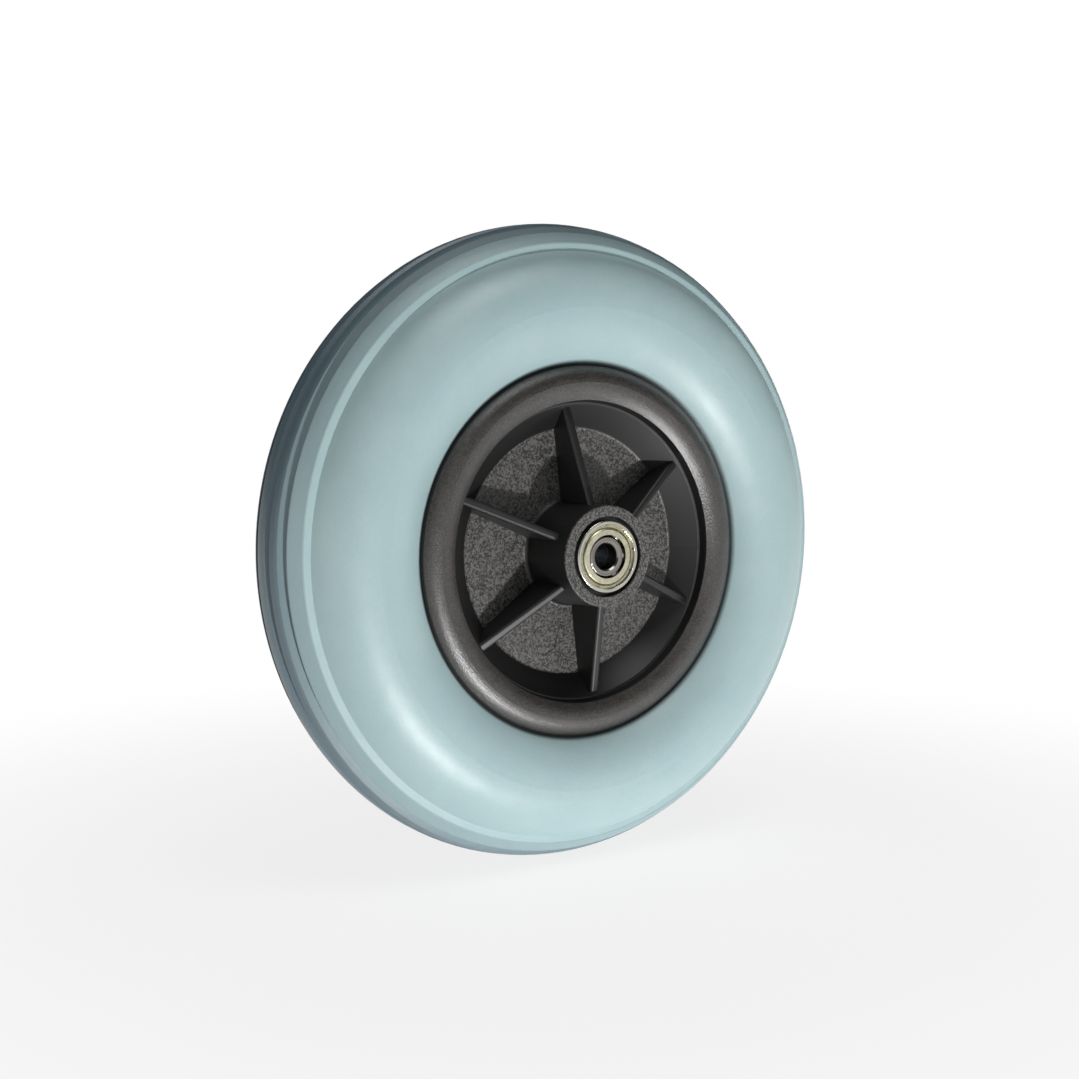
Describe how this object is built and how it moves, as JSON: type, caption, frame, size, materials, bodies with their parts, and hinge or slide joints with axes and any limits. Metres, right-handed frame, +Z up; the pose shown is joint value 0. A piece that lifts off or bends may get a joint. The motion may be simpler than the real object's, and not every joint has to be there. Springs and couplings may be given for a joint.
{
  "type": "solid wheel",
  "caption": "Puncture-proof wheel for castors and light carts: a rounded grooved solid tyre on a ribbed moulded rim with a ball bearing in each end of the hub.",
  "frame": {"origin": "centre of the wheel, on its axis and midway between the two hub faces", "axes": "+Y along the axle towards the rear of the hub; -Y is the front face; +Z up; the wheel turns about Y"},
  "size_m": [0.2, 0.06, 0.2],
  "materials": {
    "foamed_polyurethane": "moulded satin skin, pale grey-teal",
    "glass_filled_nylon": "black, fine moulded grain",
    "ground_ring": "ground bearing steel",
    "plated_shield": "pressed steel, passivated plating",
    "polished_ball": "polished steel",
    "pressed_cage": "pressed steel strip",
    "zinc_tube": "zinc-plated steel tube"
  },
  "bodies": {
    "axle_side": {"front_inner_ring": "ground_ring", "rear_inner_ring": "ground_ring", "spacer_tube": "zinc_tube"},
    "wheel": {"tyre": "foamed_polyurethane", "rim": "glass_filled_nylon", "front_outer_ring": "ground_ring", "front_outside_shield": "plated_shield", "front_inside_shield": "plated_shield", "rear_outer_ring": "ground_ring", "rear_outside_shield": "plated_shield", "rear_inside_shield": "plated_shield"},
    "front_cage": {"front_outside_cage_half": "pressed_cage", "front_inside_cage_half": "pressed_cage", "front_ball_1": "polished_ball", "front_ball_2": "polished_ball", "front_ball_3": "polished_ball", "front_ball_4": "polished_ball", "front_ball_5": "polished_ball", "front_ball_6": "polished_ball", "front_ball_7": "polished_ball"},
    "rear_cage": {"rear_outside_cage_half": "pressed_cage", "rear_inside_cage_half": "pressed_cage", "rear_ball_1": "polished_ball", "rear_ball_2": "polished_ball", "rear_ball_3": "polished_ball", "rear_ball_4": "polished_ball", "rear_ball_5": "polished_ball", "rear_ball_6": "polished_ball", "rear_ball_7": "polished_ball"}
  },
  "joints": [
    {"name": "wheel_spin", "type": "hinge", "parent": "axle_side", "child": "wheel", "pos_m": [0, 0, 0], "axis": [0, 1, 0], "continuous": true},
    {"name": "front_cage_spin", "type": "hinge", "parent": "axle_side", "child": "front_cage", "pos_m": [0, -0.0265, 0], "axis": [0, 1, 0], "continuous": true},
    {"name": "rear_cage_spin", "type": "hinge", "parent": "axle_side", "child": "rear_cage", "pos_m": [0, 0.0265, 0], "axis": [0, 1, 0], "continuous": true}
  ],
  "couplings": [
    {"joint": "front_cage_spin", "follows": "wheel_spin", "ratio": 0.6323},
    {"joint": "rear_cage_spin", "follows": "wheel_spin", "ratio": 0.6323}
  ]
}
